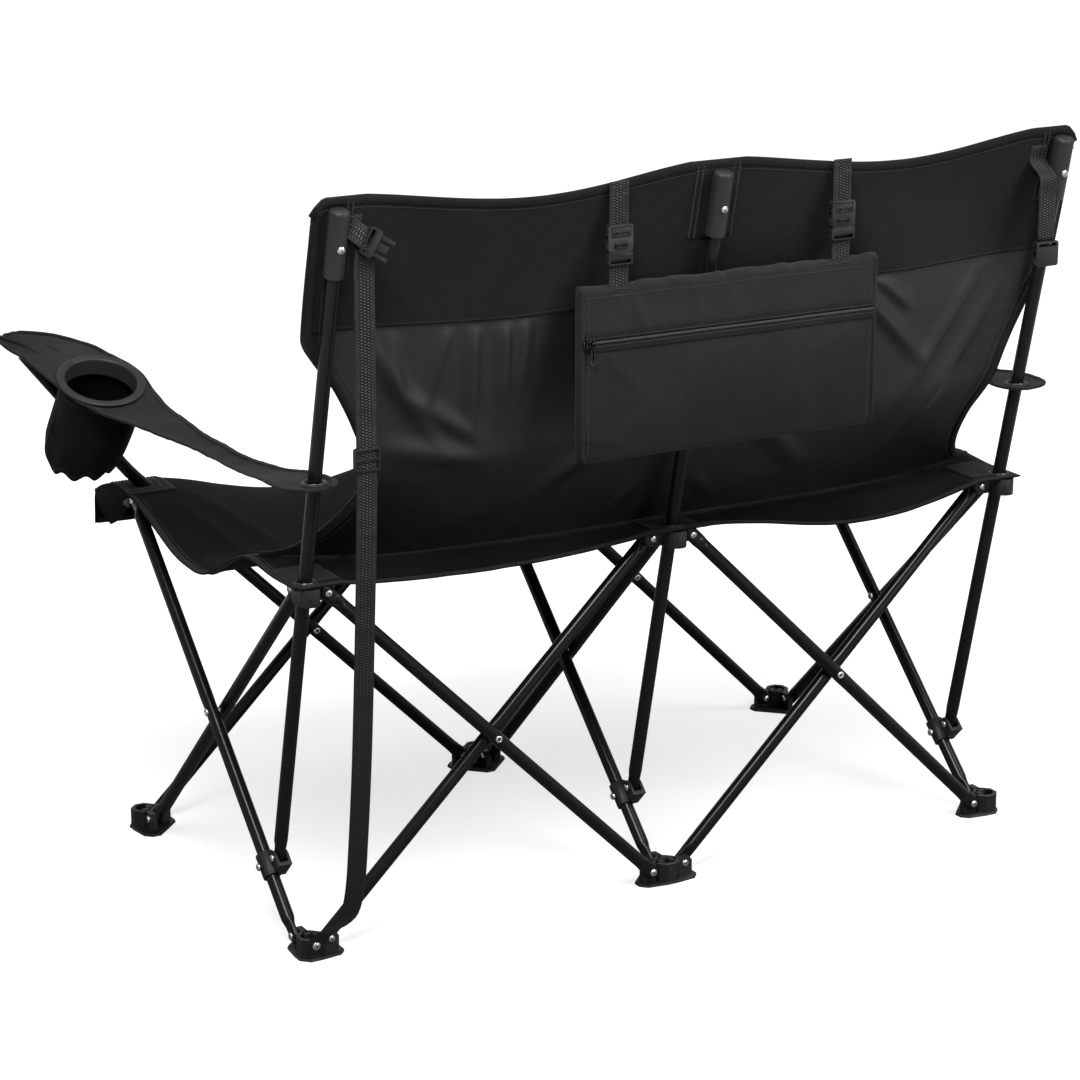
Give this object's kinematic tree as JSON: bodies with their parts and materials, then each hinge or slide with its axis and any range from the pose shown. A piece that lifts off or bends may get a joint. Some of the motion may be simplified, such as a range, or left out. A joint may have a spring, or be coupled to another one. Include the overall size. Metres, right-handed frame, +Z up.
{
  "type": "folding camping loveseat",
  "caption": "Two-seat folding camping chair with a scissor frame of steel tube, slung cloth seat and back, armrests with cup holders, a rear pocket and a carry strap.",
  "frame": {"origin": "middle of the bounding box, on the floor", "axes": "+X towards the sitters' left, +Y towards the back, +Z up; the sitters face -Y"},
  "size_m": [1.276, 0.6856, 0.903],
  "materials": {
    "tube": "gloss black enamel",
    "moulding": "satin black",
    "cap": "satin slate grey",
    "cloth": "matt black woven cloth",
    "webbing": "black woven webbing",
    "zip": "black"
  },
  "bodies": {
    "hub_rear_centre": {"hub_rear_centre": "moulding"},
    "carry_strap": {"carry_strap": "webbing"},
    "ladder_lock": {"carry_strap_ladder_lock": "moulding"},
    "pocket": {"storage_pocket": "cloth"},
    "zip_end": {"pocket_zip_stop": "zip"},
    "zip_slider": {"pocket_zip_slider": "zip"},
    "seat_rear_half": {"seat_rear_half": "cloth"},
    "seat_front_half": {"seat_front_half": "cloth"},
    "foot_rear_left": {"foot_rear_left": "moulding"},
    "hub_rear_left": {"hub_rear_left": "moulding"},
    "foot_front_left": {"foot_front_left": "moulding"},
    "hub_front_left": {"hub_front_left": "moulding"},
    "side_tube_left_rear_foot": {"side_tube_left_rear_foot": "tube", "post_clamp_left": "moulding"},
    "side_tube_left_front_foot": {"side_tube_left_front_foot": "tube"},
    "back_post_left": {"back_post_left": "tube", "post_cap_left": "cap", "closing_buckle_plug": "moulding"},
    "foot_rear_centre": {"foot_rear_centre": "moulding"},
    "foot_front_centre": {"foot_front_centre": "moulding"},
    "hub_front_centre": {"hub_front_centre": "moulding"},
    "side_tube_centre_rear_foot": {"side_tube_centre_rear_foot": "tube", "post_clamp_centre": "moulding"},
    "side_tube_centre_front_foot": {"side_tube_centre_front_foot": "tube"},
    "back_post_centre": {"back_post_centre": "tube", "post_cap_centre": "cap", "back_panel": "cloth"},
    "foot_rear_right": {"foot_rear_right": "moulding"},
    "hub_rear_right": {"hub_rear_right": "moulding"},
    "foot_front_right": {"foot_front_right": "moulding"},
    "hub_front_right": {"hub_front_right": "moulding"},
    "side_tube_right_rear_foot": {"side_tube_right_rear_foot": "tube", "post_clamp_right": "moulding"},
    "side_tube_right_front_foot": {"side_tube_right_front_foot": "tube"},
    "back_post_right": {"back_post_right": "tube", "post_cap_right": "cap", "closing_strap": "webbing", "closing_buckle_socket": "moulding"},
    "rear_tube_left_outer": {"rear_tube_left_outer": "tube"},
    "rear_tube_left_inner": {"rear_tube_left_inner": "tube"},
    "rear_tube_right_inner": {"rear_tube_right_inner": "tube"},
    "rear_tube_right_outer": {"rear_tube_right_outer": "tube"},
    "front_tube_left": {"front_tube_left": "tube"},
    "arm_tube_left": {"arm_tube_left": "tube"},
    "arm_tube_right": {"arm_tube_right": "tube"},
    "front_tube_right": {"front_tube_right": "tube"},
    "armrest_eyelet_left": {"armrest_eyelet_left": "moulding"},
    "armrest_left": {"armrest_left": "cloth"},
    "cup_holder_left": {"cup_ring_left": "cap", "cup_bag_left": "cloth"},
    "pocket_strap_left": {"pocket_strap_left": "webbing", "pocket_buckle_socket_left": "moulding"},
    "pocket_plug_left": {"pocket_buckle_plug_left": "moulding"},
    "armrest_eyelet_right": {"armrest_eyelet_right": "moulding"},
    "armrest_right": {"armrest_right": "cloth"},
    "cup_holder_right": {"cup_ring_right": "cap", "cup_bag_right": "cloth"},
    "pocket_strap_right": {"pocket_strap_right": "webbing", "pocket_buckle_socket_right": "moulding"},
    "pocket_plug_right": {"pocket_buckle_plug_right": "moulding"}
  },
  "joints": [
    {"name": "fold", "type": "hinge", "parent": "hub_rear_centre", "child": "rear_tube_left_outer", "pos_m": [0.025, 0.2144, 0.436], "axis": [0, 1, 0], "range_deg": [0, 42], "deforming": ["seat_rear_half", "seat_front_half", "back_panel", "armrest_left", "armrest_right", "cup_bag_left", "cup_bag_right", "storage_pocket", "carry_strap"]},
    {"name": "rear_left_foot_pivot", "type": "hinge", "parent": "rear_tube_left_outer", "child": "foot_rear_left", "pos_m": [0.455, 0.2144, 0.018], "axis": [0, 1, 0], "range_deg": [-42.5, 0]},
    {"name": "left_rear_foot_tube_pivot", "type": "hinge", "parent": "foot_rear_left", "child": "side_tube_left_rear_foot", "pos_m": [0.48825, 0.19765, 0.018], "axis": [1, 0, 0], "range_deg": [-42.5, 0]},
    {"name": "front_left_hub_pivot", "type": "hinge", "parent": "side_tube_left_rear_foot", "child": "hub_front_left", "pos_m": [0.48825, -0.23235, 0.436], "axis": [1, 0, 0], "range_deg": [0, 42.5]},
    {"name": "arm_tube_left_pivot", "type": "hinge", "parent": "hub_front_left", "child": "arm_tube_left", "pos_m": [0.455, -0.2491, 0.436], "axis": [0, 1, 0], "range_deg": [-42.5, 0]},
    {"name": "back_post_left_pivot", "type": "hinge", "parent": "side_tube_left_rear_foot", "child": "back_post_left", "pos_m": [0.48, 0.14423, 0.09503], "axis": [1, 0, 0], "range_deg": [0, 54.05]},
    {"name": "rear_left_crossing", "type": "hinge", "parent": "rear_tube_left_outer", "child": "rear_tube_left_inner", "pos_m": [0.24, 0.22265, 0.227], "axis": [0, 1, 0], "range_deg": [-84.5, 0]},
    {"name": "rear_left_hub_pivot", "type": "hinge", "parent": "rear_tube_left_inner", "child": "hub_rear_left", "pos_m": [0.455, 0.2309, 0.436], "axis": [0, 1, 0], "range_deg": [0, 42.5]},
    {"name": "left_front_foot_tube_pivot", "type": "hinge", "parent": "hub_rear_left", "child": "side_tube_left_front_foot", "pos_m": [0.47175, 0.19765, 0.436], "axis": [1, 0, 0], "range_deg": [0, 42.5]},
    {"name": "front_left_foot_pivot", "type": "hinge", "parent": "side_tube_left_front_foot", "child": "foot_front_left", "pos_m": [0.47175, -0.23235, 0.018], "axis": [1, 0, 0], "range_deg": [-42.5, 0]},
    {"name": "front_tube_left_pivot", "type": "hinge", "parent": "foot_front_left", "child": "front_tube_left", "pos_m": [0.455, -0.2656, 0.018], "axis": [0, 1, 0], "range_deg": [0, 42.5]},
    {"name": "rear_right_tube_pivot", "type": "hinge", "parent": "hub_rear_centre", "child": "rear_tube_right_outer", "pos_m": [-0.025, 0.2309, 0.436], "axis": [0, 1, 0], "range_deg": [-42.5, 0]},
    {"name": "rear_right_foot_pivot", "type": "hinge", "parent": "rear_tube_right_outer", "child": "foot_rear_right", "pos_m": [-0.455, 0.2309, 0.018], "axis": [0, 1, 0], "range_deg": [0, 42.5]},
    {"name": "right_rear_foot_tube_pivot", "type": "hinge", "parent": "foot_rear_right", "child": "side_tube_right_rear_foot", "pos_m": [-0.47175, 0.19765, 0.018], "axis": [1, 0, 0], "range_deg": [-42.5, 0]},
    {"name": "front_right_hub_pivot", "type": "hinge", "parent": "side_tube_right_rear_foot", "child": "hub_front_right", "pos_m": [-0.47175, -0.23235, 0.436], "axis": [1, 0, 0], "range_deg": [0, 42.5]},
    {"name": "arm_tube_right_pivot", "type": "hinge", "parent": "hub_front_right", "child": "arm_tube_right", "pos_m": [-0.455, -0.2656, 0.436], "axis": [0, 1, 0], "range_deg": [0, 42.5]},
    {"name": "back_post_right_pivot", "type": "hinge", "parent": "side_tube_right_rear_foot", "child": "back_post_right", "pos_m": [-0.48, 0.14423, 0.09503], "axis": [1, 0, 0], "range_deg": [0, 54.05]},
    {"name": "rear_right_crossing", "type": "hinge", "parent": "rear_tube_right_outer", "child": "rear_tube_right_inner", "pos_m": [-0.24, 0.22265, 0.227], "axis": [0, 1, 0], "range_deg": [0, 84.5]},
    {"name": "rear_right_hub_pivot", "type": "hinge", "parent": "rear_tube_right_inner", "child": "hub_rear_right", "pos_m": [-0.455, 0.2144, 0.436], "axis": [0, 1, 0], "range_deg": [-42.5, 0]},
    {"name": "right_front_foot_tube_pivot", "type": "hinge", "parent": "hub_rear_right", "child": "side_tube_right_front_foot", "pos_m": [-0.48825, 0.19765, 0.436], "axis": [1, 0, 0], "range_deg": [0, 42.5]},
    {"name": "front_right_foot_pivot", "type": "hinge", "parent": "side_tube_right_front_foot", "child": "foot_front_right", "pos_m": [-0.48825, -0.23235, 0.018], "axis": [1, 0, 0], "range_deg": [-42.5, 0]},
    {"name": "front_tube_right_pivot", "type": "hinge", "parent": "foot_front_right", "child": "front_tube_right", "pos_m": [-0.455, -0.2491, 0.018], "axis": [0, 1, 0], "range_deg": [-42.5, 0]},
    {"name": "centre_front_foot_tube_pivot", "type": "hinge", "parent": "hub_rear_centre", "child": "side_tube_centre_front_foot", "pos_m": [-0.00825, 0.19765, 0.436], "axis": [1, 0, 0], "range_deg": [0, 42.5]},
    {"name": "front_centre_foot_pivot", "type": "hinge", "parent": "side_tube_centre_front_foot", "child": "foot_front_centre", "pos_m": [-0.00825, -0.23235, 0.018], "axis": [1, 0, 0], "range_deg": [-42.5, 0]},
    {"name": "centre_crossing", "type": "hinge", "parent": "side_tube_centre_front_foot", "child": "side_tube_centre_rear_foot", "pos_m": [0, -0.01735, 0.227], "axis": [1, 0, 0], "range_deg": [-84.5, 0]},
    {"name": "rear_centre_foot_pivot", "type": "hinge", "parent": "side_tube_centre_rear_foot", "child": "foot_rear_centre", "pos_m": [0.00825, 0.19765, 0.018], "axis": [1, 0, 0], "range_deg": [0, 42.5]},
    {"name": "front_centre_hub_pivot", "type": "hinge", "parent": "side_tube_centre_rear_foot", "child": "hub_front_centre", "pos_m": [0.00825, -0.23235, 0.436], "axis": [1, 0, 0], "range_deg": [0, 42.5]},
    {"name": "back_post_centre_pivot", "type": "hinge", "parent": "side_tube_centre_rear_foot", "child": "back_post_centre", "pos_m": [0, 0.14423, 0.09503], "axis": [1, 0, 0], "range_deg": [0, 54.05]},
    {"name": "seat_rear_fold", "type": "hinge", "parent": "hub_rear_centre", "child": "seat_rear_half", "pos_m": [0, 0.22265, 0.448], "axis": [1, 0, 0], "range_deg": [0, 85.5]},
    {"name": "seat_front_fold", "type": "hinge", "parent": "hub_front_centre", "child": "seat_front_half", "pos_m": [0, -0.25735, 0.448], "axis": [1, 0, 0], "range_deg": [-85.5, 0]},
    {"name": "armrest_eyelet_left_slide", "type": "slide", "parent": "back_post_left", "child": "armrest_eyelet_left", "axis": [0, 0.2269, 0.9739], "range_m": [0, 0.052]},
    {"name": "armrest_left_swing", "type": "hinge", "parent": "armrest_eyelet_left", "child": "armrest_left", "pos_m": [0.48, 0.2544, 0.568], "axis": [-0.9465, -0.2997, -0.1201], "range_deg": [0, 79.22]},
    {"name": "cup_holder_left_shift", "type": "slide", "parent": "armrest_left", "child": "cup_holder_left", "axis": [-0.1476, 0.9884, -0.0366], "range_m": [0, 0.2395]},
    {"name": "armrest_eyelet_right_slide", "type": "slide", "parent": "back_post_right", "child": "armrest_eyelet_right", "axis": [0, 0.2269, 0.9739], "range_m": [0, 0.052]},
    {"name": "armrest_right_swing", "type": "hinge", "parent": "armrest_eyelet_right", "child": "armrest_right", "pos_m": [-0.48, 0.2544, 0.568], "axis": [-0.9465, 0.2997, 0.1201], "range_deg": [0, 79.22]},
    {"name": "cup_holder_right_shift", "type": "slide", "parent": "armrest_right", "child": "cup_holder_right", "axis": [0.1476, 0.9884, -0.0366], "range_m": [0, 0.2395]},
    {"name": "pocket_strap_left_shift", "type": "slide", "parent": "back_post_centre", "child": "pocket_strap_left", "axis": [-1, 0, 0], "range_m": [0, 0.1063]},
    {"name": "pocket_strap_right_shift", "type": "slide", "parent": "back_post_centre", "child": "pocket_strap_right", "axis": [1, 0, 0], "range_m": [0, 0.1301]},
    {"name": "pocket_release", "type": "slide", "parent": "back_post_centre", "child": "pocket", "axis": [0, 0, -1], "range_m": [0, 0.025]},
    {"name": "pocket_plug_left_shift", "type": "slide", "parent": "pocket", "child": "pocket_plug_left", "axis": [-1, 0, 0], "range_m": [0, 0.1063]},
    {"name": "pocket_plug_right_shift", "type": "slide", "parent": "pocket", "child": "pocket_plug_right", "axis": [1, 0, 0], "range_m": [0, 0.1301]},
    {"name": "zip_end_shift", "type": "slide", "parent": "pocket", "child": "zip_end", "axis": [-1, 0, 0], "range_m": [0, 0.1433]},
    {"name": "zip_slide", "type": "slide", "parent": "zip_end", "child": "zip_slider", "axis": [-1, 0, 0], "range_m": [0, 0.36]},
    {"name": "carry_strap_swing", "type": "hinge", "parent": "foot_rear_left", "child": "carry_strap", "pos_m": [0.48, 0.23965, 0.02], "axis": [1, 0, 0], "range_deg": [0, 6.65]},
    {"name": "ladder_lock_slide", "type": "slide", "parent": "carry_strap", "child": "ladder_lock", "axis": [0, 0, 1], "range_m": [-0.03, 0.16]}
  ],
  "couplings": [
    {"joint": "rear_left_foot_pivot", "follows": "fold", "ratio": -1},
    {"joint": "left_rear_foot_tube_pivot", "follows": "fold", "ratio": -1},
    {"joint": "front_left_hub_pivot", "follows": "fold", "ratio": 1},
    {"joint": "arm_tube_left_pivot", "follows": "fold", "ratio": -1},
    {"joint": "back_post_left_pivot", "follows": "fold", "ratio": 1.275},
    {"joint": "rear_left_crossing", "follows": "fold", "ratio": -2},
    {"joint": "rear_left_hub_pivot", "follows": "fold", "ratio": 1},
    {"joint": "left_front_foot_tube_pivot", "follows": "fold", "ratio": 1},
    {"joint": "front_left_foot_pivot", "follows": "fold", "ratio": -1},
    {"joint": "front_tube_left_pivot", "follows": "fold", "ratio": 1},
    {"joint": "rear_right_tube_pivot", "follows": "fold", "ratio": -1},
    {"joint": "rear_right_foot_pivot", "follows": "fold", "ratio": 1},
    {"joint": "right_rear_foot_tube_pivot", "follows": "fold", "ratio": -1},
    {"joint": "front_right_hub_pivot", "follows": "fold", "ratio": 1},
    {"joint": "arm_tube_right_pivot", "follows": "fold", "ratio": 1},
    {"joint": "back_post_right_pivot", "follows": "fold", "ratio": 1.275},
    {"joint": "rear_right_crossing", "follows": "fold", "ratio": 2},
    {"joint": "rear_right_hub_pivot", "follows": "fold", "ratio": -1},
    {"joint": "right_front_foot_tube_pivot", "follows": "fold", "ratio": 1},
    {"joint": "front_right_foot_pivot", "follows": "fold", "ratio": -1},
    {"joint": "front_tube_right_pivot", "follows": "fold", "ratio": -1},
    {"joint": "centre_front_foot_tube_pivot", "follows": "fold", "ratio": 1},
    {"joint": "front_centre_foot_pivot", "follows": "fold", "ratio": -1},
    {"joint": "centre_crossing", "follows": "fold", "ratio": -2},
    {"joint": "rear_centre_foot_pivot", "follows": "fold", "ratio": 1},
    {"joint": "front_centre_hub_pivot", "follows": "fold", "ratio": 1},
    {"joint": "back_post_centre_pivot", "follows": "fold", "ratio": 1.275},
    {"joint": "seat_rear_fold", "follows": "fold", "ratio": 2.0238},
    {"joint": "seat_front_fold", "follows": "fold", "ratio": -2.0238},
    {"joint": "armrest_eyelet_left_slide", "follows": "fold", "m_per_rad": 0.068209},
    {"joint": "armrest_left_swing", "follows": "fold", "ratio": 1.8743},
    {"joint": "cup_holder_left_shift", "follows": "fold", "m_per_rad": 0.32399},
    {"joint": "armrest_eyelet_right_slide", "follows": "fold", "m_per_rad": 0.068209},
    {"joint": "armrest_right_swing", "follows": "fold", "ratio": 1.8743},
    {"joint": "cup_holder_right_shift", "follows": "fold", "m_per_rad": 0.32399},
    {"joint": "pocket_strap_left_shift", "follows": "fold", "m_per_rad": 0.14228},
    {"joint": "pocket_strap_right_shift", "follows": "fold", "m_per_rad": 0.17475},
    {"joint": "pocket_plug_left_shift", "follows": "fold", "m_per_rad": 0.14228},
    {"joint": "pocket_plug_right_shift", "follows": "fold", "m_per_rad": 0.17475},
    {"joint": "zip_end_shift", "follows": "fold", "m_per_rad": 0.19281},
    {"joint": "carry_strap_swing", "follows": "fold", "ratio": 0.14643}
  ]
}
